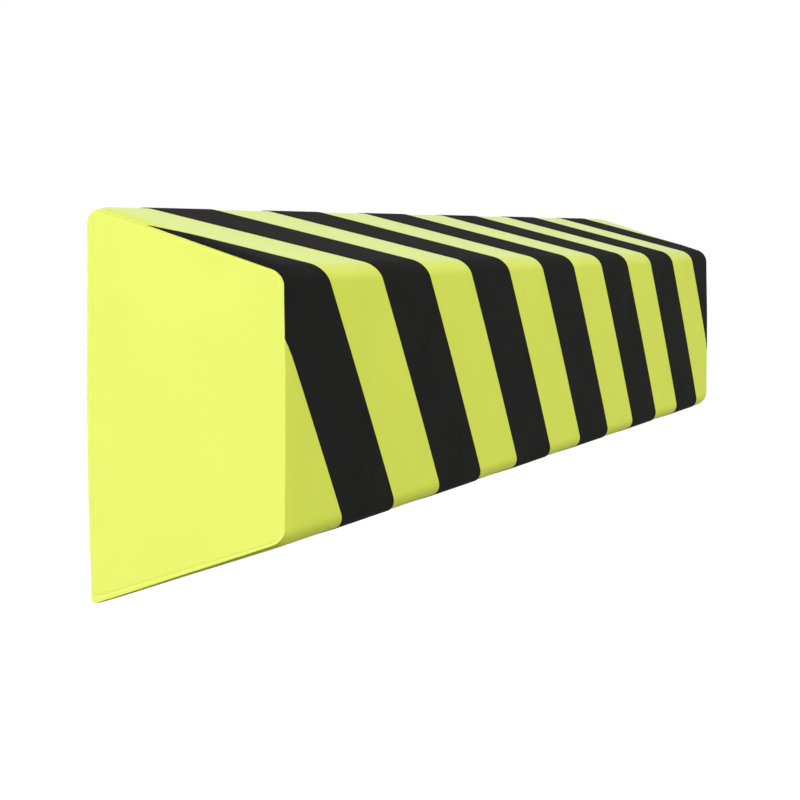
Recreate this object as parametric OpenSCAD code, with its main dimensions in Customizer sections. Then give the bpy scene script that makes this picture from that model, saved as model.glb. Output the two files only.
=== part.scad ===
// Foam impact protector: a long moulded foam pad of trapezium section, with its tall flat back
// against a wall or post, sloping top and underside, and a shorter upright front face.
// Diagonal black stripes run over the top, the front and the underside. The end faces are plain.
// X runs along the pad, the back face lies on the plane Y = 0 and the front looks toward -Y.

/* [Pad] */
// Length of the pad
pad_l = 1000; // [300:10:2000]
// Height of the flat back, to its sharp corners
back_h = 160; // [130:1:220]
// Height of the front face, to its sharp corners
front_h = 107; // [70:1:120]
// Depth from the back to the front face
pad_d = 83; // [60:1:120]

/* [Edges] */
// Rounding of the two long front edges
front_r = 8; // [5:0.5:16]
// Rounding of the upper long back edge
top_back_r = 6; // [3:0.5:16]
// Rounding of the lower long back edge
bottom_back_r = 2; // [1:0.5:16]
// How far the skin draws in round each end face
end_inset = 0.6; // [0.2:0.1:0.9]
// Length at each end over which the skin draws in
end_reach = 5; // [1:0.5:15]

/* [Stripes] */
// Width of a black stripe, measured along the pad
black_w = 80; // [30:0.5:120]
// Width of the yellow between two stripes, measured along the pad
yellow_w = 79.5; // [30:0.5:120]
// Distance of the first black stripe's far side from the end, along the upper front edge
first_stripe_x = 53; // [10:1:78]
// Lean of a stripe from the upright, on each face
stripe_lean = 45; // [20:1:60]
// Thickness of the black coat
coat_t = 0.3; // [0.1:0.05:0.6]
// How far short of each end face the black coat ends
end_margin = 0.04; // [0.02:0.02:4]
// Bare band between the black coat and the back face
back_margin = 1.5; // [0.5:0.5:10]

/* [Hidden] */
// Flats in each long rounding, and where the skin draws in at an end
arc_steps = 8;
end_steps = 5;

// Angle of the sloping top and underside above the level
slope = atan((back_h - front_h) / 2 / pad_d);
stripe_pitch = black_w + yellow_w;
// Stripes that cross the front face, counted from the end at -X
stripe_count = ceil((pad_l - first_stripe_x + black_w) / stripe_pitch);
// Longer than the pad's section in any direction
reach = 2 * (back_h + pad_d);

// Height of the centre of a rounding that touches the slope and the front or back face
function front_z(r) = front_h / 2 + r * tan(slope) - r / cos(slope);
function back_z(r) = back_h / 2 - r * tan(slope) - r / cos(slope);

// The four long roundings, as centre in Y and Z, radius, and first and last angle
roundings = [
    [[-top_back_r, back_z(top_back_r)], top_back_r, 0, 90 + slope],
    [[front_r - pad_d, front_z(front_r)], front_r, 90 + slope, 180],
    [[front_r - pad_d, -front_z(front_r)], front_r, 180, 270 - slope],
    [[-bottom_back_r, -back_z(bottom_back_r)], bottom_back_r, 270 - slope, 360]
];

// The pad's section in Y and Z, with every face moved outward by grow
module section(grow) {
    polygon([
        for (r = roundings, step = [0 : arc_steps])
            let (angle = r[2] + (r[3] - r[2]) * step / arc_steps)
                r[0] + (r[1] + grow) * [cos(angle), sin(angle)]
    ]);
}

// The pad with its long edges rounded, and its skin moved outward by grow. Each prism is a
// little longer and slimmer than the one before, which draws the skin in along a quarter of an
// ellipse at each end.
module pad_shape(grow) {
    hull()
        for (step = [0 : end_steps]) {
            angle = 90 * step / end_steps;
            rotate([90, 0, 90])
                linear_extrude(
                    height = pad_l - 2 * end_reach + 2 * (end_reach + grow) * sin(angle),
                    center = true
                )
                    section((end_inset + grow) * cos(angle) - end_inset);
        }
}

module pad_body() {
    color([0.86, 0.89, 0.36])
        pad_shape(0);
}

// A slab as thick as one stripe, square to a direction and starting at the origin
module stripe_slab(direction) {
    tilt = acos(direction[2] / norm(direction));
    turn = atan2(direction[1], direction[0]);
    rotate([0, tilt, turn])
        translate([-reach, -reach, 0])
            cube([2 * reach, 2 * reach, black_w * direction[0] / norm(direction)]);
}

// The cut that makes one stripe: a slab for the top and the upper half of the front, and one
// for the lower half and the underside, which meet along the same line on the front face
module stripe_cut(x) {
    for (half = [1, -1])
        intersection() {
            translate([x, -pad_d, front_h / 2])
                stripe_slab([
                    cos(slope),
                    half * tan(stripe_lean) * (1 - sin(slope)),
                    tan(stripe_lean) * cos(slope)
                ]);
            translate([-pad_l, -reach, half > 0 ? 0 : -reach])
                cube([2 * pad_l, 2 * reach, reach]);
        }
}

// The coat that the stripes are cut from: a thin layer on the pad's rounded skin
module coat() {
    intersection() {
        difference() {
            pad_shape(coat_t);
            pad_shape(0);
        }
        translate([end_margin - pad_l / 2, -reach, -reach])
            cube([pad_l - 2 * end_margin, reach - back_margin, 2 * reach]);
    }
}

module warning_stripes() {
    color([0.13, 0.13, 0.13])
        for (i = [0 : stripe_count - 1])
            intersection() {
                coat();
                stripe_cut(first_stripe_x - black_w - pad_l / 2 + i * stripe_pitch);
            }
}

pad_body();
warning_stripes();
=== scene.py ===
"""Foam impact protector: a long moulded pad with diagonal warning stripes.

The pad's skin and the black coat on it are both laid out by Geometry Nodes from one section line,
so that the coat follows every rounding, the slight crown and the unevenness of the foam under it.
"""

import math

import bpy
from bpy.props import FloatProperty, FloatVectorProperty, IntProperty, PointerProperty
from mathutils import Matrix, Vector


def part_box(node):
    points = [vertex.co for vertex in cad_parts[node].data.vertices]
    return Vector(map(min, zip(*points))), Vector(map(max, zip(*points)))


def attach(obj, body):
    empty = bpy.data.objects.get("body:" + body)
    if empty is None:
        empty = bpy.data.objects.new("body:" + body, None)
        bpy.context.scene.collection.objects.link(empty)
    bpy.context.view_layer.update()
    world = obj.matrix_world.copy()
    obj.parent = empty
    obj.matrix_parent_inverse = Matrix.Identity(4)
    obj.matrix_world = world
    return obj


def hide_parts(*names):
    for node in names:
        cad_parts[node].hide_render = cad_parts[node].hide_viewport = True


bl_info = {
    "name": "Foam Impact Protector",
    "version": (1, 0, 0),
    "blender": (4, 5, 0),
    "location": "3D Viewport > Sidebar > Foam Pad",
    "description": "Builds a long foam pad with diagonal warning stripes, and its stage",
    "category": "Add Mesh",
}

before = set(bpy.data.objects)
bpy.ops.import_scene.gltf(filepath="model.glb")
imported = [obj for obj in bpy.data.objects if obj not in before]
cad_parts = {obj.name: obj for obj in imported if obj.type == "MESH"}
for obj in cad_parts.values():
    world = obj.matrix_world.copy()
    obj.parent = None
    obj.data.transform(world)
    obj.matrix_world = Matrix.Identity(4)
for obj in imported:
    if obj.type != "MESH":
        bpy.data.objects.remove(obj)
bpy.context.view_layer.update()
PAD_LOW, PAD_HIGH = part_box("pad_body")

MM = 0.001
QUARTER = math.pi / 2

NUMBER = "NodeSocketFloat"
COUNT = "NodeSocketInt"
POINT = "NodeSocketVector"
SHAPE = "NodeSocketGeometry"
FINISH = "NodeSocketMaterial"
NODE_GAP = 190  # between the columns and the rows of a laid-out tree


# ---------------------------------------------------------------------------------------------
# Properties
# ---------------------------------------------------------------------------------------------


def length_of(name, description, default, low, high):
    """A size in metres."""
    return FloatProperty(
        name=name,
        description=description,
        default=default,
        min=low,
        max=high,
        unit="LENGTH",
        precision=4,
    )


def share_of(name, description, default):
    """A number from 0 to 1."""
    return FloatProperty(
        name=name, description=description, default=default, min=0, max=1, subtype="FACTOR"
    )


def colour_of(name, description, default):
    """A plain colour."""
    return FloatVectorProperty(
        name=name, description=description, default=default, size=3, min=0, max=1, subtype="COLOR"
    )


class PadSizes(bpy.types.PropertyGroup):
    """Sizes of the foam pad. The faces, the long roundings and the end inset are the same as in
    the part's source. The end reach and the finer shape of the ends are the scene's own."""

    length: length_of("Length", "Length of the pad", PAD_HIGH.x - PAD_LOW.x, 0.3, 2.0)
    back_height: length_of(
        "Back height", "Height of the flat back, to its sharp corners", 0.16, 0.13, 0.22
    )
    front_height: length_of(
        "Front height", "Height of the front face, to its sharp corners", 0.107, 0.07, 0.12
    )
    depth: length_of(
        "Depth", "Depth from the back to the front face", PAD_HIGH.y - PAD_LOW.y, 0.06, 0.12
    )
    front_rounding: length_of(
        "Front rounding", "Rounding of the two long front edges", 0.008, 0.005, 0.016
    )
    upper_back_rounding: length_of(
        "Upper back rounding", "Rounding of the upper long back edge", 0.006, 0.003, 0.016
    )
    lower_back_rounding: length_of(
        "Lower back rounding", "Rounding of the lower long back edge", 0.002, 0.001, 0.016
    )
    end_inset: length_of(
        "End inset", "How far the skin draws in round each end face", 0.0006, 0.0002, 0.0009
    )
    upper_corner_inset: length_of(
        "Upper corner inset",
        "How much further an end draws in at its upper front corner",
        0.0012,
        0.0,
        0.003,
    )
    lower_corner_inset: length_of(
        "Lower corner inset",
        "How much further an end draws in at its lower front corner",
        0.0007,
        0.0,
        0.003,
    )
    end_reach: length_of(
        "End reach", "Length at each end over which the skin draws in", 0.01, 0.001, 0.015
    )
    corner_curl: length_of(
        "Corner curl",
        "How far the lower back corner of the near end curls forward",
        0.0017,
        0.0,
        0.004,
    )
    crown: length_of(
        "Crown",
        "How far the front face and the underside bow out in the middle",
        0.0003,
        0.0,
        0.004,
    )
    end_crown: length_of(
        "End crown", "How far the middle of an end face stands proud of its rim", 0.0005, 0.0, 0.004
    )
    rim_groove: length_of(
        "Rim groove", "Depth of the faint groove along the rim of an end face", 0.00024, 0.0, 0.001
    )
    unevenness: length_of(
        "Unevenness", "Height of the soft waves in the moulded skin", 0.00006, 0.0, 0.002
    )


class StripeSizes(bpy.types.PropertyGroup):
    """Sizes of the diagonal stripes. All but the edge sweep are the same as in the part's
    source."""

    stripe_count: IntProperty(
        name="Stripe count", description="Black stripes along the pad", default=7, min=1, max=20
    )
    black_width: length_of(
        "Black width", "Width of a black stripe along the pad", 0.08, 0.03, 0.12
    )
    yellow_width: length_of(
        "Yellow width", "Width of the yellow between two stripes along the pad", 0.0795, 0.03, 0.12
    )
    first_stripe: length_of(
        "First stripe",
        "Distance of the first stripe's far side from the end, along the upper front edge",
        0.053,
        0.01,
        0.078,
    )
    lean: FloatProperty(
        name="Lean",
        description="Lean of a stripe from the upright on each face",
        default=math.radians(45),
        min=math.radians(20),
        max=math.radians(60),
        subtype="ANGLE",
    )
    edge_sweep: length_of(
        "Edge sweep",
        "How far the first stripe's edge sweeps back along the near end",
        0.007,
        0.001,
        0.015,
    )
    coat_thickness: length_of(
        "Coat thickness", "Thickness of the black coat", 0.0003, 0.0001, 0.0006
    )
    end_margin: length_of(
        "End margin", "How far short of each end face the coat ends", 0.00004, 0.00002, 0.004
    )
    back_margin: length_of(
        "Back margin", "Bare band between the coat and the back face", 0.0015, 0.0005, 0.01
    )


class PadFinish(bpy.types.PropertyGroup):
    """Colours and surface of the foam skin and of the black coat."""

    yellow: colour_of("Yellow", "Colour of the foam skin", (0.797, 0.905, 0.104))
    end_yellow: colour_of(
        "End yellow", "Colour of the skin on the end faces", (0.79, 0.88, 0.158)
    )
    black: colour_of("Black", "Colour of the stripes", (0.0157, 0.0157, 0.014))
    foam_roughness: share_of("Foam roughness", "Roughness of the foam skin", 0.6)
    coat_roughness: share_of("Coat roughness", "Roughness of the black coat", 0.8)
    grain_size: length_of(
        "Grain size", "Size of the fine orange-peel grain in the skin", 0.0012, 0.0004, 0.01
    )
    grain_height: length_of(
        "Grain height", "Height of the fine grain in the skin", 0.00003, 0.0, 0.0005
    )


class StageSizes(bpy.types.PropertyGroup):
    """The floor that the pad is looked at over."""

    floor_drop: length_of(
        "Floor drop", "How far the floor lies below the pad", 0.45, 0.0, 3.0
    )
    floor_size: length_of("Floor size", "Width of the floor", 12.0, 2.0, 40.0)


# ---------------------------------------------------------------------------------------------
# Node trees written as formulas
# ---------------------------------------------------------------------------------------------


class Term:
    """A number or vector in a node tree. Sums and products of terms add the nodes for them."""

    def __init__(self, rule, socket):
        self.rule = rule
        self.socket = socket

    def __add__(self, other):
        return self.rule.math("ADD", self, other)

    def __radd__(self, other):
        return self.rule.math("ADD", other, self)

    def __sub__(self, other):
        return self.rule.math("SUBTRACT", self, other)

    def __rsub__(self, other):
        return self.rule.math("SUBTRACT", other, self)

    def __mul__(self, other):
        return self.rule.math("MULTIPLY", self, other)

    def __rmul__(self, other):
        return self.rule.math("MULTIPLY", other, self)

    def __truediv__(self, other):
        return self.rule.math("DIVIDE", self, other)

    def __rtruediv__(self, other):
        return self.rule.math("DIVIDE", other, self)

    def __neg__(self):
        return self.rule.math("MULTIPLY", self, -1.0)


class Rule:
    """A node tree that formulas are written into. An input is reached by its name."""

    def __init__(self, tree):
        self.tree = tree
        self.source = None
        self.sink = None

    @classmethod
    def group(cls, name, kind, inputs, outputs):
        """A new node group, whose inputs and outputs are pairs of a name and a kind of socket."""
        rule = cls(bpy.data.node_groups.new(name, kind))
        for label, socket_type in inputs:
            rule.tree.interface.new_socket(label, in_out="INPUT", socket_type=socket_type)
        for label, socket_type in outputs:
            rule.tree.interface.new_socket(label, in_out="OUTPUT", socket_type=socket_type)
        rule.source = rule.tree.nodes.new("NodeGroupInput")
        rule.sink = rule.tree.nodes.new("NodeGroupOutput")
        return rule

    def __getitem__(self, label):
        return Term(self, self.source.outputs[label])

    def __setitem__(self, label, value):
        self.feed(self.sink.inputs[label], value)

    def named(self, labels):
        """The inputs with these names."""
        return {label: self[label] for label in labels}

    def feed(self, socket, value):
        """Links a term to a socket, or sets a plain value on it."""
        if isinstance(value, Term):
            self.tree.links.new(value.socket, socket)
        else:
            socket.default_value = value

    def add(self, kind, inputs=None, **settings):
        """Adds a node, with its settings and its inputs by name or number."""
        node = self.tree.nodes.new(kind)
        for name, value in settings.items():
            setattr(node, name, value)
        for key, value in (inputs or {}).items():
            self.feed(node.inputs[key], value)
        return node

    def out(self, node, key=0):
        return Term(self, node.outputs[key])

    def use(self, tree, inputs):
        """Places a group in this tree."""
        kind = tree.bl_idname.replace("NodeTree", "NodeGroup")
        return self.add(kind, inputs, node_tree=tree)

    # numbers

    def math(self, operation, *values, clamp=False):
        inputs = dict(enumerate(values))
        return self.out(self.add("ShaderNodeMath", inputs, operation=operation, use_clamp=clamp))

    def sin(self, angle):
        return self.math("SINE", angle)

    def cos(self, angle):
        return self.math("COSINE", angle)

    def tan(self, angle):
        return self.math("TANGENT", angle)

    def least(self, first, *others):
        for other in others:
            first = self.math("MINIMUM", first, other)
        return first

    def most(self, first, other):
        return self.math("MAXIMUM", first, other)

    def held(self, value, low, high):
        """The value, held between two limits."""
        return self.least(self.most(value, low), high)

    def share(self, value, start, end):
        """How far a value is from start to end, from 0 to 1."""
        return self.math("DIVIDE", value - start, end - start, clamp=True)

    def eased(self, share):
        """A share from 0 to 1 with a soft start and end."""
        return share * share * (3.0 - 2.0 * share)

    def pick(self, number, choices):
        """The choice that a whole number points at."""
        node = self.add("GeometryNodeIndexSwitch", {"Index": number}, data_type="FLOAT")
        while len(node.index_switch_items) < len(choices):
            node.index_switch_items.new()
        for place, choice in enumerate(choices):
            self.feed(node.inputs[place + 1], choice)
        return self.out(node)

    # vectors

    def vector(self, x, y, z):
        return self.out(self.add("ShaderNodeCombineXYZ", {0: x, 1: y, 2: z}))

    def parts(self, vector):
        node = self.add("ShaderNodeSeparateXYZ", {0: vector})
        return [self.out(node, k) for k in range(3)]

    def plus(self, first, *others):
        for other in others:
            node = self.add("ShaderNodeVectorMath", {0: first, 1: other}, operation="ADD")
            first = self.out(node)
        return first

    def scaled(self, vector, factor):
        node = self.add("ShaderNodeVectorMath", {0: vector, "Scale": factor}, operation="SCALE")
        return self.out(node)

    def lay_out(self):
        """Sets the nodes out in columns, from the inputs to the result."""
        depth = {}
        links = list(self.tree.links)
        for _ in range(len(self.tree.nodes)):
            moved = False
            for link in links:
                need = depth.get(link.from_node.name, 0) + 1
                if depth.get(link.to_node.name, 0) < need:
                    depth[link.to_node.name] = need
                    moved = True
            if not moved:
                break
        rows = {}
        for node in self.tree.nodes:
            column = depth.get(node.name, 0)
            row = rows.get(column, 0)
            rows[column] = row + 1
            node.location = (column * NODE_GAP, -row * NODE_GAP)
        return self.tree


# ---------------------------------------------------------------------------------------------
# The skin of the pad as a rule
# ---------------------------------------------------------------------------------------------

SECTION_SIZES = (
    "Back height",
    "Front height",
    "Depth",
    "Front rounding",
    "Upper back rounding",
    "Lower back rounding",
)
END_SIZES = (
    "Length",
    "End inset",
    "Upper corner inset",
    "Lower corner inset",
    "End reach",
    "Corner curl",
)
SKIN_SIZES = SECTION_SIZES + END_SIZES + ("Crown", "Unevenness")
END_FACE_SIZES = ("End crown", "Rim groove")
STRIPE_SIZES = (
    "Black width",
    "Yellow width",
    "First stripe",
    "Lean",
    "Edge sweep",
    "Coat thickness",
    "End margin",
    "Back margin",
)
ARC_POINTS = 17  # on each rounding of the section line


def numbers(labels):
    """A number socket for each name."""
    return [(label, NUMBER) for label in labels]


SKIN_SOCKETS = numbers(SKIN_SIZES + ("Seed",)) + [("Finish", FINISH)]


def section_numbers(rule):
    """The corners of the section: where each rounding has its centre, how large it is, the angles
    that it turns through, and where its sharp corner lies on the laid-out skin."""
    back, front, depth = (rule[label] for label in SECTION_SIZES[:3])
    front_r, top_r, low_r = (rule[label] for label in SECTION_SIZES[3:])
    slope = rule.math("ARCTAN2", (back - front) / 2.0, depth)
    rise, flat = rule.tan(slope), rule.cos(slope)

    def front_z(radius):
        return front / 2.0 + radius * rise - radius / flat

    def back_z(radius):
        return back / 2.0 - radius * rise - radius / flat

    face = depth / flat
    return {
        "slope": slope,
        "y": [-top_r, front_r - depth, front_r - depth, -low_r],
        "z": [back_z(top_r), front_z(front_r), -front_z(front_r), -back_z(low_r)],
        "radius": [top_r, front_r, front_r, low_r],
        "angle": [0.0, QUARTER + slope, 2 * QUARTER, 3 * QUARTER - slope, 4 * QUARTER],
        "turn": [QUARTER + slope, QUARTER - slope, QUARTER - slope, QUARTER + slope],
        "corner": [0.0, face, face + front, 2.0 * face + front],
        "face": face,
        "round": 2.0 * face + front + back,
    }


def section_line_tree():
    """The section as a line of points, with the direction that the skin faces at each. It starts
    at the top of the flat back, runs over the top, the front and the underside, and closes."""
    rule = Rule.group(
        "Pad section line", "GeometryNodeTree", numbers(SECTION_SIZES), [("Line", SHAPE)]
    )
    size = section_numbers(rule)

    # Each point's rounding, and how far it is over that rounding. The last point closes the line
    index = rule.out(rule.add("GeometryNodeInputIndex"))
    corner = rule.math("FLOOR", (index + 0.5) / ARC_POINTS)
    share = (index - corner * ARC_POINTS) / (ARC_POINTS - 1)
    first = rule.pick(corner, size["angle"])
    last = rule.pick(corner, size["angle"][1:] + [4 * QUARTER])
    facing = first + (last - first) * share
    radius = rule.pick(corner, size["radius"] + size["radius"][:1])
    y = rule.pick(corner, size["y"] + size["y"][:1]) + radius * rule.cos(facing)
    z = rule.pick(corner, size["z"] + size["z"][:1]) + radius * rule.sin(facing)
    line = rule.add("GeometryNodeCurvePrimitiveLine")
    points = rule.add(
        "GeometryNodeResampleCurve",
        {"Curve": rule.out(line), "Count": 4 * ARC_POINTS + 1},
        mode="COUNT",
    )
    stored = rule.add(
        "GeometryNodeStoreNamedAttribute",
        {"Geometry": rule.out(points), "Name": "facing", "Value": facing},
        data_type="FLOAT",
        domain="POINT",
    )
    placed = rule.add(
        "GeometryNodeSetPosition",
        {"Geometry": rule.out(stored), "Position": rule.vector(0.0, y, z)},
    )
    rule["Line"] = rule.out(placed)
    return rule.lay_out()


def section_point_tree():
    """A point of the section, by its distance over the laid-out faces from the upper back corner,
    and the direction that the skin faces there. The front and the underside bow out slightly."""
    rule = Rule.group(
        "Point of the section",
        "GeometryNodeTree",
        [("Line", SHAPE)] + numbers(("Laid", "Crown") + SECTION_SIZES),
        [("Point", POINT), ("Facing", POINT)],
    )
    size = section_numbers(rule)

    # The way along the line: shorter than over the sharp corners, by what each rounding saves
    reach = [r * rule.tan(turn / 2.0) for r, turn in zip(size["radius"], size["turn"])]
    past = rule.math("GREATER_THAN", rule["Laid"], size["round"] - reach[0])
    laid = rule["Laid"] - past * size["round"]
    run = laid + reach[0]
    for radius, turn, corner, half in zip(size["radius"], size["turn"], size["corner"], reach):
        saved = 2.0 * half - radius * turn
        run = run - saved * rule.share(laid, corner - half, corner + half)

    # The bow of the front and of the underside, 1 in the middle of each
    bow = 0.0
    for corner, after in zip(size["corner"][1:3], size["corner"][2:]):
        along = rule.share(laid, corner, after)
        bow = 4.0 * along * (1.0 - along) + bow

    facing = rule.add("GeometryNodeInputNamedAttribute", {"Name": "facing"}, data_type="FLOAT")
    sample = rule.add(
        "GeometryNodeSampleCurve",
        {"Curves": rule["Line"], "Value": rule.out(facing), "Length": run},
        mode="LENGTH",
        data_type="FLOAT",
    )
    angle = rule.out(sample, "Value")
    normal = rule.vector(0.0, rule.cos(angle), rule.sin(angle))
    crowned = rule.scaled(normal, rule["Crown"] * bow)
    rule["Point"] = rule.plus(rule.out(sample, "Position"), crowned)
    rule["Facing"] = normal
    return rule.lay_out()


def drawn_in_end_tree():
    """Places a point of the section along the pad, and draws it in more and more towards an end
    face. The front corners draw in further, and the lower back corner of the near end curls forward
    a little."""
    rule = Rule.group(
        "Point near the end",
        "GeometryNodeTree",
        [("Point", POINT), ("Facing", POINT)] + numbers(("Along",) + END_SIZES),
        [("Position", POINT), ("Outward", POINT)],
    )
    # Where each share runs from 0 to 1: over heights, over depths from the back face, over the
    # upward or downward part of the skin's direction, and over the distance from the near end
    upper_heights, upper_depths, upper_tilts = (5 * MM, 45 * MM), (-20 * MM, 75 * MM), (0.0, 0.9)
    lower_depths, lower_tilts = (0.0, 75 * MM), (0.2, 0.9)
    curl_drops, curl_depths, curl_length = (-10 * MM, 70 * MM), (0.0, 45 * MM), (0.0, 90 * MM)
    upright_share = 0.25  # of the upper corner inset, on skin that stands upright

    x, reach, half = rule["Along"], rule["End reach"], rule["Length"] / 2.0
    _, y, z = rule.parts(rule["Point"])
    _, _, upward = rule.parts(rule["Facing"])
    on_top = upright_share + (1.0 - upright_share) * rule.share(upward, *upper_tilts)
    upper, fore = rule.eased(rule.share(z, *upper_heights)), rule.share(-y, *upper_depths)
    below = rule.share(-upward, *lower_tilts) * rule.share(-y, *lower_depths)
    upper_inset = rule["Upper corner inset"] * on_top * upper * fore
    corners = upper_inset + rule["Lower corner inset"] * below
    past = rule.share(rule.math("ABSOLUTE", x), half - reach, half)
    inset = (rule["End inset"] + corners) * past

    low = rule.share(-z, *curl_drops)
    near = 1.0 - rule.eased(rule.share(x + half, *curl_length))
    at_the_back = 1.0 - rule.eased(rule.share(-y, *curl_depths))
    curl = rule["Corner curl"] * low * low * near * at_the_back
    rule["Position"] = rule.plus(
        rule["Point"], rule.scaled(rule["Facing"], -inset * past), rule.vector(x, -curl, 0.0)
    )

    # The slope of the draw-in turns the skin's outward direction towards the end
    tilt = rule.math("SIGN", x) * 2.0 * inset / reach
    rule["Outward"] = rule.plus(rule["Facing"], rule.vector(tilt, 0.0, 0.0))
    return rule.lay_out()


def unevenness_tree():
    """Height of the soft waves that the foam keeps from its mould. The back stays flat."""
    long_wave, short_wave, long_strength = 90 * MM, 25 * MM, 3.0
    apart = 7.0  # keeps the short waves from being the long ones made smaller
    flat_band = (2 * MM, 14 * MM)  # from the back face
    rule = Rule.group(
        "Moulded unevenness",
        "GeometryNodeTree",
        [("Position", POINT)] + numbers(("Unevenness", "Seed")),
        [("Height", NUMBER)],
    )

    def waves(size, shift):
        node = rule.add(
            "ShaderNodeTexNoise",
            {
                "Vector": rule["Position"],
                "W": rule["Seed"] + shift,
                "Scale": 1 / size,
                "Detail": 1.0,
            },
            noise_dimensions="4D",
        )
        return rule.out(node) - 0.5

    _, y, _ = rule.parts(rule["Position"])
    off_the_wall = rule.share(-y, *flat_band)
    height = long_strength * waves(long_wave, 0.0) + waves(short_wave, apart)
    rule["Height"] = rule["Unevenness"] * height * off_the_wall
    return rule.lay_out()


def graded(rule, share, strength):
    """A share from 0 to 1 whose steps are finer towards both ends, most at a strength of 1."""
    return share - rule.sin(share * (4 * QUARTER)) * (strength / (4 * QUARTER))


class SkinParts:
    """The groups that the foam skin and the black coat share."""

    def __init__(self):
        self.line = section_line_tree()
        self.point = section_point_tree()
        self.end = drawn_in_end_tree()
        self.uneven = unevenness_tree()

    def section(self, rule):
        return rule.out(rule.use(self.line, rule.named(SECTION_SIZES)))

    def at(self, rule, line, laid):
        sizes = rule.named(("Crown",) + SECTION_SIZES)
        node = rule.use(self.point, {"Line": line, "Laid": laid, **sizes})
        return rule.out(node, "Point"), rule.out(node, "Facing")

    def toward_the_end(self, rule, point, facing, along):
        sizes = rule.named(END_SIZES)
        node = rule.use(self.end, {"Point": point, "Facing": facing, "Along": along, **sizes})
        return rule.out(node, "Position"), rule.out(node, "Outward")

    def waves(self, rule, position):
        sizes = rule.named(("Unevenness", "Seed"))
        return rule.out(rule.use(self.uneven, {"Position": position, **sizes}))


def finished(rule, shape, finish, sharp_angle):
    """Ends a tree: smooth shading with its sharp edges kept, plain geometry and a material."""
    angle = rule.out(rule.add("GeometryNodeInputMeshEdgeAngle"), "Unsigned Angle")
    sharp = rule.math("GREATER_THAN", angle, sharp_angle)
    smooth = rule.add(
        "GeometryNodeSetShadeSmooth", {"Geometry": shape, "Shade Smooth": True}, domain="FACE"
    )
    creased = rule.add(
        "GeometryNodeSetShadeSmooth",
        {"Geometry": rule.out(smooth), "Selection": sharp, "Shade Smooth": False},
        domain="EDGE",
    )
    real = rule.add("GeometryNodeRealizeInstances", {"Geometry": rule.out(creased)})
    coloured = {"Geometry": rule.out(real), "Material": finish}
    return rule.out(rule.add("GeometryNodeSetMaterial", coloured))


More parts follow.
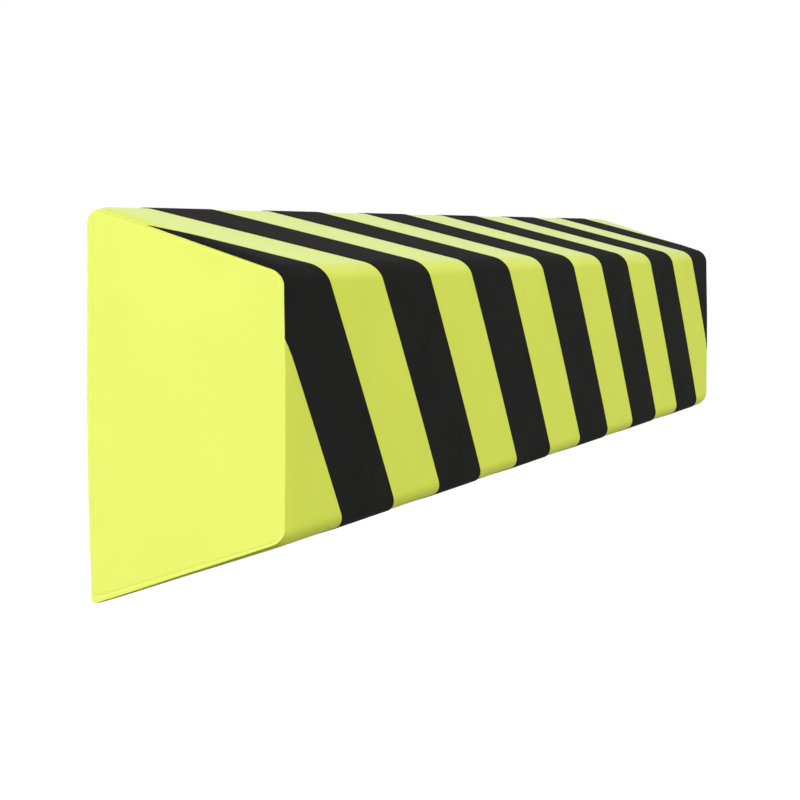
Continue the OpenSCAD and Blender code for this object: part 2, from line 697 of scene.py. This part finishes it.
def foam_skin_tree(parts):
    """The closed skin of the pad. The six sides of a box of fine squares are laid on the two end
    faces and the four long faces, with their steps finer towards the roundings."""
    rim_steps, long_steps, deep_steps, high_steps = 10, 160, 60, 84
    fineness = 0.85  # of the steps next to the roundings
    box_end = 0.99999  # the box reaches from -1 to 1, and only its ends lie past this
    sharp_angle = math.radians(25)

    # Distances from the rim of an end face
    corner_softness, bulge_reach = 6 * MM, 38 * MM
    groove_place, groove_width = 1.6 * MM, 0.35 * MM
    rule = Rule.group(
        "Foam pad skin",
        "GeometryNodeTree",
        SKIN_SOCKETS + numbers(END_FACE_SIZES),
        [("Skin", SHAPE)],
    )
    size = section_numbers(rule)
    box = rule.add(
        "GeometryNodeMeshCube",
        {
            "Size": (2.0, 2.0, 2.0),
            "Vertices X": long_steps + 2 * rim_steps + 1,
            "Vertices Y": deep_steps + 1,
            "Vertices Z": high_steps + 1,
        },
    )
    x, y, z = rule.parts(rule.out(rule.add("GeometryNodeInputPosition")))

    # Along the pad: fine steps where the skin draws in at each end, and even steps between
    step = (x + 1.0) * (long_steps / 2.0 + rim_steps)
    last_rim = long_steps + rim_steps
    drawn = rule.share(step, last_rim, last_rim + rim_steps) + rule.share(step, 0, rim_steps) - 1.0
    even = 2.0 * rule.share(step, rim_steps, last_rim) - 1.0
    along = (rule["Length"] / 2.0 - rule["End reach"]) * even + rule["End reach"] * drawn

    # Over the section: each point is blended between the four faces, which on a long face leaves
    # that face alone, and fills the end faces evenly
    out = graded(rule, (y + 1.0) / 2.0, fineness)
    up = graded(rule, (z + 1.0) / 2.0, fineness)
    line = parts.section(rule)
    face, front, back = size["face"], rule["Front height"], rule["Back height"]
    low_corner, last_corner = size["corner"][2:]
    top = parts.at(rule, line, face * (1.0 - out))
    fore = parts.at(rule, line, face + front * (1.0 - up))
    under = parts.at(rule, line, low_corner + face * out)
    rear = parts.at(rule, line, last_corner + back * up)
    corners = [parts.at(rule, line, laid) for laid in size["corner"]]
    weights = [out * up, (1.0 - out) * up, (1.0 - out) * (1.0 - up), out * (1.0 - up)]

    def blended(kind):
        total = rule.plus(
            rule.scaled(top[kind], up),
            rule.scaled(under[kind], 1.0 - up),
            rule.scaled(fore[kind], 1.0 - out),
            rule.scaled(rear[kind], out),
        )
        for corner, weight in zip(corners, weights):
            total = rule.plus(total, rule.scaled(corner[kind], -weight))
        return total

    position, outward = parts.toward_the_end(rule, blended(0), blended(1), along)

    # An end face: a soft bulge, and a shallow groove that follows the rim
    _, deep, high = rule.parts(position)
    rise, flat = rule.sin(size["slope"]), rule.cos(size["slope"])
    from_front = rule["Depth"] + deep
    inside = -deep
    for edge in (
        from_front,
        rise * from_front + flat * (front / 2.0 - high),
        rise * from_front + flat * (front / 2.0 + high),
    ):
        inside = rule.math("SMOOTH_MIN", inside, edge, corner_softness)
    inside = inside - rule["End inset"]
    on_end = rule.math("GREATER_THAN", rule.math("ABSOLUTE", x), box_end)
    outward = rule.plus(
        rule.scaled(outward, 1.0 - on_end), rule.vector(on_end * rule.math("SIGN", x), 0.0, 0.0)
    )
    bulge = rule["End crown"] * rule.eased(rule.share(inside, 0.0, bulge_reach))
    off_groove = (inside - groove_place) / groove_width
    groove = rule["Rim groove"] * rule.math("EXPONENT", -(off_groove * off_groove))
    height = parts.waves(rule, position) + on_end * (bulge - groove)

    raised = rule.plus(position, rule.scaled(outward, height))
    skin = rule.add("GeometryNodeSetPosition", {"Geometry": rule.out(box), "Position": raised})
    rule["Skin"] = finished(rule, rule.out(skin), rule["Finish"], sharp_angle)
    return rule.lay_out()


def black_coat_tree(parts):
    """The stripes: one thin closed slab for each, laid on the skin along its lean. A slab narrows
    to nothing where its stripe runs off an end, and its rim thins out onto the foam. Where the skin
    draws in at the near end, the edge of the first stripe sweeps back along the end."""
    cross_steps, laid_steps = 22, 230
    fineness = 0.88  # of the steps next to the two sides of a stripe
    rim_width, rim_share = 0.35 * MM, 0.25  # where the coat thins out, and to what share
    weld_distance, sharp_angle = 0.001 * MM, math.radians(40)
    rule = Rule.group(
        "Black stripes",
        "GeometryNodeTree",
        SKIN_SOCKETS + [("Stripe count", COUNT)] + numbers(STRIPE_SIZES),
        [("Coat", SHAPE)],
    )
    size = section_numbers(rule)
    slab = rule.add(
        "GeometryNodeMeshCube",
        {
            "Size": (2.0, 2.0, 2.0),
            "Vertices X": cross_steps + 1,
            "Vertices Y": laid_steps + 1,
            "Vertices Z": 2,
        },
    )
    starts = rule.add(
        "GeometryNodePoints", {"Count": rule["Stripe count"], "Position": (0.0, 0.0, 0.0)}
    )
    numbered = rule.add(
        "GeometryNodeStoreNamedAttribute",
        {
            "Geometry": rule.out(starts),
            "Name": "stripe",
            "Value": rule.out(rule.add("GeometryNodeInputIndex")),
        },
        data_type="FLOAT",
        domain="POINT",
    )
    placed = rule.add(
        "GeometryNodeInstanceOnPoints", {"Points": rule.out(numbered), "Instance": rule.out(slab)}
    )
    slabs = rule.add("GeometryNodeRealizeInstances", {"Geometry": rule.out(placed)})

    x, y, z = rule.parts(rule.out(rule.add("GeometryNodeInputPosition")))
    number = rule.add("GeometryNodeInputNamedAttribute", {"Name": "stripe"}, data_type="FLOAT")
    stripe = rule.out(number)
    width, lean = rule["Black width"], rule.tan(rule["Lean"])
    half_length = rule["Length"] / 2.0
    limit = half_length - rule["End margin"]
    start = rule["First stripe"] - width - half_length + stripe * (width + rule["Yellow width"])

    # From the margin at the upper back edge to the one at the lower back edge, or to an end
    def reach(corner):
        return size["radius"][corner] * rule.tan(size["turn"][corner] / 2.0)

    def margin_turn(corner):
        angle = rule.math("ARCCOSINE", 1.0 - rule["Back margin"] / size["radius"][corner])
        return angle / size["turn"][corner]

    face = size["face"]
    highest = reach(0) * (2.0 * margin_turn(0) - 1.0)
    lowest = size["corner"][3] + reach(3) * (1.0 - 2.0 * margin_turn(3))
    first = rule.most(highest, face + (-limit - rule["Edge sweep"] - start - width) / lean)
    last = rule.least(lowest, face + (limit - start) / lean)
    laid = first + (last - first) * (1.0 - y) / 2.0

    # Across the stripe. Within the end reach, the far side lies further in than its straight line,
    # by the sweep times the square of how much of the reach it has crossed
    near_side = start + (laid - face) * lean
    low_x = rule.held(near_side, -limit, limit)
    drawn, sweep = rule["End reach"], rule["Edge sweep"]
    off_end = near_side + width + limit
    root = rule.math("SQRT", drawn * drawn + 4.0 * sweep * rule.most(drawn - off_end, 0.0))
    swept = rule.most(off_end, drawn) - drawn * (root - drawn) / (2.0 * sweep)
    high_x = rule.held(swept - limit, -limit, limit)
    along = low_x + (high_x - low_x) * graded(rule, (x + 1.0) / 2.0, fineness)

    point, facing = parts.at(rule, parts.section(rule), laid)
    position, outward = parts.toward_the_end(rule, point, facing, along)

    # The coat's thickness, and its place on the skin
    rim = rule.least(along - low_x, high_x - along, laid - first, last - laid)
    off_rim = rule.eased(rule.share(rim, 0.0, rim_width))
    thickness = rule["Coat thickness"] * (rim_share + (1.0 - rim_share) * off_rim)
    height = parts.waves(rule, position) + thickness * (z + 1.0) / 2.0
    raised = rule.plus(position, rule.scaled(outward, height))
    coat = rule.add(
        "GeometryNodeSetPosition", {"Geometry": rule.out(slabs), "Position": raised}
    )
    closed = rule.add(
        "GeometryNodeMergeByDistance", {"Geometry": rule.out(coat), "Distance": weld_distance}
    )
    rule["Coat"] = finished(rule, rule.out(closed), rule["Finish"], sharp_angle)
    return rule.lay_out()


def grown(name, tree, values):
    """Runs a tree on an empty mesh and leaves the result as a plain mesh."""
    piece = bpy.data.objects.new(name, bpy.data.meshes.new(name))
    bpy.context.scene.collection.objects.link(piece)
    modifier = piece.modifiers.new(tree.name, "NODES")
    modifier.node_group = tree
    for item in tree.interface.items_tree:
        if item.in_out == "INPUT":
            modifier[item.identifier] = values[item.name]

    evaluated = piece.evaluated_get(bpy.context.evaluated_depsgraph_get())
    mesh = bpy.data.meshes.new_from_object(evaluated)
    if not mesh.polygons:
        raise RuntimeError(f"{name} came out empty")
    piece.modifiers.clear()
    piece.data = mesh
    mesh.name = name
    return piece


# ---------------------------------------------------------------------------------------------
# Finishes
# ---------------------------------------------------------------------------------------------


def moulded_surface_tree():
    """What a moulded skin shows: soft patches, a change of gloss, and its grain and pores."""
    rule = Rule.group(
        "Moulded surface",
        "ShaderNodeTree",
        [("Place", POINT)] + numbers(("Patch size", "Grain size", "Seed")),
        numbers(("Patches", "Gloss", "Grain", "Dimples")),
    )
    gloss_share, dimple_share = 0.3, 9.0  # of the size of the patches, and of the grain
    patch_range = (0.25, 0.75)

    def noise(size, shift, detail=2.0, roughness=0.5):
        """Even noise. Each shift gives a pattern of its own."""
        node = rule.add(
            "ShaderNodeTexNoise",
            {
                "Vector": rule["Place"],
                "W": rule["Seed"] + shift,
                "Scale": 1.0 / size,
                "Detail": detail,
                "Roughness": roughness,
            },
            noise_dimensions="4D",
        )
        return rule.out(node)

    patch, grain = rule["Patch size"], rule["Grain size"]
    rule["Patches"] = rule.share(noise(patch, 0.0, detail=3.0, roughness=0.55), *patch_range)
    rule["Gloss"] = noise(patch * gloss_share, 11.0)
    rule["Grain"] = noise(grain, 23.0, detail=1.0)
    rule["Dimples"] = noise(grain * dimple_share, 31.0)
    return rule.lay_out()


def finish_material(name, surface, look):
    """A moulded skin with its own colours, gloss and grain, and, where the look has one, a painted
    sheen on the skin that faces up.
    """
    material = bpy.data.materials.new(name)
    material.use_nodes = True
    rule = Rule(material.node_tree)
    rule.tree.nodes.clear()
    coordinates = rule.add("ShaderNodeTexCoord")
    place = rule.out(coordinates, "Object")
    skin = rule.use(
        surface,
        {
            "Place": place,
            "Patch size": look["patch_size"],
            "Grain size": look["grain_size"],
            "Seed": look["seed"],
        },
    )
    patches = rule.out(skin, "Patches")
    deeper, lighter = look["colour_change"]

    def patchy(colour):
        return colour_mix(rule, patches, tinted(colour, -deeper), tinted(colour, lighter))

    colour = patchy(look["colour"])
    if "end_colour" in look:
        along, _, _ = rule.parts(place)
        on_the_ends = rule.share(rule.math("ABSOLUTE", along), *look["end_band"])
        colour = colour_mix(rule, on_the_ends, colour, patchy(look["end_colour"]))
    roughness = look["roughness"] + look["gloss_change"] * (rule.out(skin, "Gloss") - 0.5)
    dimples = rule.add(
        "ShaderNodeBump",
        {"Height": rule.out(skin, "Dimples"), "Distance": look["dimple_height"], "Strength": 1.0},
    )
    grain = rule.add(
        "ShaderNodeBump",
        {
            "Height": rule.out(skin, "Grain"),
            "Distance": look["grain_height"],
            "Strength": 1.0,
            "Normal": rule.out(dimples),
        },
    )
    shader = rule.add(
        "ShaderNodeBsdfPrincipled",
        {
            "Base Color": colour,
            "Roughness": roughness,
            "Normal": rule.out(grain),
            "IOR": look["ior"],
            "Specular IOR Level": look["shine"],
        },
    )
    if "sheen" in look:
        # Painted sheen: only skin that faces up gets this bluish sheen, which stands in for the
        # paler, more brightly lit top
        _, _, upward = rule.parts(rule.out(coordinates, "Normal"))
        sheen = look["sheen"] * rule.share(upward, *look["sheen_tilts"])
        rule.feed(shader.inputs["Sheen Weight"], sheen)
        rule.feed(shader.inputs["Sheen Roughness"], look["sheen_roughness"])
        rule.feed(shader.inputs["Sheen Tint"], (*look["sheen_tint"], 1.0))
    rule.add("ShaderNodeOutputMaterial", {"Surface": rule.out(shader)})
    rule.lay_out()
    return material


def colour_mix(rule, factor, low, high):
    """A colour between two, by a factor from 0 to 1."""
    factor_socket, low_socket, high_socket, result_socket = 0, 6, 7, 2  # those for colours
    node = rule.add("ShaderNodeMix", data_type="RGBA")
    rule.feed(node.inputs[factor_socket], factor)
    for place, colour in ((low_socket, low), (high_socket, high)):
        rule.feed(node.inputs[place], colour if isinstance(colour, Term) else (*colour, 1.0))
    return rule.out(node, result_socket)


def tinted(colour, amount):
    """The same colour, lighter or deeper by a share."""
    return tuple(min(1.0, channel * (1.0 + amount)) for channel in colour)


def foam_look(finish, pad):
    """The yellow skin: a satin foam with a colder, painted sheen on its upper side, which stands in
    for the brighter light that falls on the top.
    """
    half = pad.length / 2
    return {
        "colour": finish.yellow,
        "colour_change": (0.035, 0.02),
        "end_colour": finish.end_yellow,
        "end_band": (half - 1.0 * MM, half - 0.4 * MM),
        "patch_size": 60 * MM,
        "grain_size": finish.grain_size,
        "seed": 3.0,
        "roughness": finish.foam_roughness,
        "gloss_change": 0.16,
        "dimple_height": 0.08 * MM,
        "grain_height": finish.grain_height,
        "ior": 1.45,
        "shine": 0.04,
        # A painted sheen for the brighter light on the upper side
        "sheen": 0.345,
        "sheen_tilts": (-0.1, 0.5),
        "sheen_roughness": 0.28,
        "sheen_tint": (0.6, 0.7, 1.0),
    }


def coat_look(finish):
    """The black coat: matt, with a faint change of tone."""
    return {
        "colour": finish.black,
        "colour_change": (0.12, 0.12),
        "patch_size": 45 * MM,
        "grain_size": finish.grain_size,
        "seed": 8.0,
        "roughness": finish.coat_roughness,
        "gloss_change": 0.14,
        "dimple_height": 0.08 * MM,
        "grain_height": finish.grain_height,
        "ior": 1.4,
        "shine": 0.01,
    }


# ---------------------------------------------------------------------------------------------
# Operators
# ---------------------------------------------------------------------------------------------

shared = {}


def skin_parts():
    """The node groups that both operators use, built once."""
    if "parts" not in shared:
        shared["parts"] = SkinParts()
        shared["surface"] = moulded_surface_tree()
    return shared["parts"], shared["surface"]


def values_of(group, labels):
    """The sizes in a property group, under the names that the node trees give them."""
    return {label: getattr(group, label.lower().replace(" ", "_")) for label in labels}


def skin_values(pad, finish):
    """What both trees are given. The seed is the same, so the coat waves as the skin does."""
    return {**values_of(pad, SKIN_SIZES), "Seed": 5.0, "Finish": finish}


class FOAMPAD_OT_skin(bpy.types.Operator):
    """Builds the moulded foam pad with its yellow skin"""

    bl_idname = "foampad.skin"
    bl_label = "Foam Skin"

    def execute(self, context):
        scene = context.scene
        parts, surface = skin_parts()
        pad = scene.foampad_sizes
        look = foam_look(scene.foampad_finish, pad)
        finish = finish_material("yellow_foam_skin", surface, look)
        values = {**skin_values(pad, finish), **values_of(pad, END_FACE_SIZES)}
        skin = grown("pad_skin", foam_skin_tree(parts), values)
        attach(skin, "root")
        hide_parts("pad_body")
        return {"FINISHED"}


class FOAMPAD_OT_stripes(bpy.types.Operator):
    """Lays the black coat of the diagonal stripes on the foam skin"""

    bl_idname = "foampad.stripes"
    bl_label = "Black Stripes"

    def execute(self, context):
        scene = context.scene
        parts, surface = skin_parts()
        finish = finish_material("black_stripe_coat", surface, coat_look(scene.foampad_finish))
        stripe_values = values_of(scene.foampad_stripes, ("Stripe count",) + STRIPE_SIZES)
        values = {**skin_values(scene.foampad_sizes, finish), **stripe_values}
        coat = grown("stripe_coat", black_coat_tree(parts), values)
        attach(coat, "root")
        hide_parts("warning_stripes")
        return {"FINISHED"}


# The camera as it was fitted to the photograph's outline and stripe edges
CAMERA_PLACE = Vector((-1.5687, -0.4234, 0.0672))
CAMERA_SIGHT = Vector((0.96405, 0.26571, 0.0))
CAMERA_LENS = 130.08
CAMERA_SENSOR = 36.0
CAMERA_SHIFT = -0.2077
CAMERA_CLIP = (0.05, 60.0)

# Each lamp's name, place, size and power, and the point that all of them look at
LAMPS = (
    ("top_lamp", (0.0, -0.3, 1.9), (2.4, 1.6), 5.8),
    ("end_lamp", (-2.6, -0.15, 0.6), (1.4, 1.4), 46.6),
    ("front_lamp", (0.3, -2.6, 0.6), (2.2, 1.4), 34.6),
    ("far_lamp", (2.2, 1.9, 0.9), (1.6, 1.4), 40.0),
)
LAMP_TARGET = Vector((0.0, -0.04, 0.0))
WHITE = (1.0, 1.0, 1.0, 1.0)


def add_camera():
    """The photograph's viewpoint: level, from beyond the near end and a little in front of it."""
    data = bpy.data.cameras.new("camera")
    data.lens = CAMERA_LENS
    data.sensor_width = CAMERA_SENSOR
    data.shift_y = CAMERA_SHIFT
    data.clip_start, data.clip_end = CAMERA_CLIP
    camera = bpy.data.objects.new("camera", data)
    camera.location = CAMERA_PLACE
    camera.rotation_euler = CAMERA_SIGHT.to_track_quat("-Z", "Y").to_euler()
    bpy.context.scene.collection.objects.link(camera)
    bpy.context.scene.camera = camera


def add_lamp(name, place, size, power):
    """A soft rectangular lamp that looks at the pad."""
    data = bpy.data.lights.new(name, "AREA")
    data.shape = "RECTANGLE"
    data.size, data.size_y = size
    data.energy = power
    lamp = bpy.data.objects.new(name, data)
    lamp.location = place
    lamp.rotation_euler = (LAMP_TARGET - Vector(place)).to_track_quat("-Z", "Y").to_euler()
    bpy.context.scene.collection.objects.link(lamp)


def white_to_the_camera(rule):
    """1 for what the camera sees directly, in a mirror or through glass, and 0 for plain light."""
    path = rule.add("ShaderNodeLightPath")
    seen = rule.most(rule.out(path, "Is Camera Ray"), rule.out(path, "Is Glossy Ray"))
    return rule.most(seen, rule.out(path, "Is Transmission Ray"))


def floor_material():
    """A pale floor that is white where no shadow lies. From below it lets the view through."""
    near_glow, far_glow, glow_distances = 0.6, 0.85, (1.0, 2.6)
    seen_tone, dark_tone = 0.5, 0.13
    material = bpy.data.materials.new("pale_floor")
    material.use_nodes = True
    rule = Rule(material.node_tree)
    rule.tree.nodes.clear()
    x, y, _ = rule.parts(rule.out(rule.add("ShaderNodeTexCoord"), "Object"))
    away = rule.math("SQRT", x * x + y * y)
    far = rule.eased(rule.share(away, *glow_distances))
    strength = near_glow + (far_glow - near_glow) * far
    seen = white_to_the_camera(rule)
    matt = rule.add("ShaderNodeBsdfDiffuse", {"Color": dark_tone + (seen_tone - dark_tone) * seen})
    glow = rule.add("ShaderNodeEmission", {"Color": WHITE, "Strength": strength * seen})
    both = rule.add("ShaderNodeAddShader", {0: rule.out(matt), 1: rule.out(glow)})
    clear = rule.add("ShaderNodeBsdfTransparent")
    behind = rule.out(rule.add("ShaderNodeNewGeometry"), "Backfacing")
    mixed = rule.add("ShaderNodeMixShader", {0: behind, 1: rule.out(both), 2: rule.out(clear)})
    rule.add("ShaderNodeOutputMaterial", {"Surface": rule.out(mixed)})
    rule.lay_out()
    return material


def light_the_room():
    """A plain grey light from all round, which the camera sees as white."""
    world = bpy.data.worlds.new("studio")
    bpy.context.scene.world = world
    world.use_nodes = True
    rule = Rule(world.node_tree)
    rule.tree.nodes.clear()
    plain = 0.35
    strength = plain + (1.0 - plain) * white_to_the_camera(rule)
    sky = rule.add("ShaderNodeBackground", {"Color": WHITE, "Strength": strength})
    rule.add("ShaderNodeOutputWorld", {"Surface": rule.out(sky)})
    rule.lay_out()


class FOAMPAD_OT_stage(bpy.types.Operator):
    """Sets up the pale floor, the soft lamps and the camera"""

    bl_idname = "foampad.stage"
    bl_label = "Stage"

    def execute(self, context):
        scene = context.scene
        scene.view_settings.view_transform = "Standard"
        stage = scene.foampad_stage
        half = stage.floor_size / 2
        level = PAD_LOW.z - stage.floor_drop
        corners = ((-half, -half), (half, -half), (half, half), (-half, half))
        mesh = bpy.data.meshes.new("floor")
        mesh.from_pydata([(x, y, level) for x, y in corners], [], [(0, 1, 2, 3)])
        mesh.materials.append(floor_material())
        floor = bpy.data.objects.new("floor", mesh)
        scene.collection.objects.link(floor)
        light_the_room()
        for lamp in LAMPS:
            add_lamp(*lamp)
        add_camera()
        return {"FINISHED"}


class FOAMPAD_PT_panel(bpy.types.Panel):
    """The pad's sizes and finishes, and a button for each piece"""

    bl_label = "Foam Pad"
    bl_idname = "FOAMPAD_PT_panel"
    bl_space_type = "VIEW_3D"
    bl_region_type = "UI"
    bl_category = "Foam Pad"

    def draw(self, context):
        layout = self.layout
        scene = context.scene
        groups = (
            (scene.foampad_sizes, FOAMPAD_OT_skin),
            (scene.foampad_stripes, FOAMPAD_OT_stripes),
            (scene.foampad_finish, None),
            (scene.foampad_stage, FOAMPAD_OT_stage),
        )
        for group, operator in groups:
            column = layout.column(align=True)
            for name in group.__annotations__:
                column.prop(group, name)
            if operator:
                column.operator(operator.bl_idname)


CLASSES = (
    PadSizes,
    StripeSizes,
    PadFinish,
    StageSizes,
    FOAMPAD_OT_skin,
    FOAMPAD_OT_stripes,
    FOAMPAD_OT_stage,
    FOAMPAD_PT_panel,
)
GROUPS = {
    "foampad_sizes": PadSizes,
    "foampad_stripes": StripeSizes,
    "foampad_finish": PadFinish,
    "foampad_stage": StageSizes,
}


def register():
    for item in CLASSES:
        bpy.utils.register_class(item)
    for name, group in GROUPS.items():
        setattr(bpy.types.Scene, name, PointerProperty(type=group))


def unregister():
    for name in GROUPS:
        delattr(bpy.types.Scene, name)
    for item in reversed(CLASSES):
        bpy.utils.unregister_class(item)


def main():
    register()
    bpy.ops.foampad.skin()
    bpy.ops.foampad.stripes()
    bpy.ops.foampad.stage()


if __name__ == "__main__":
    main()
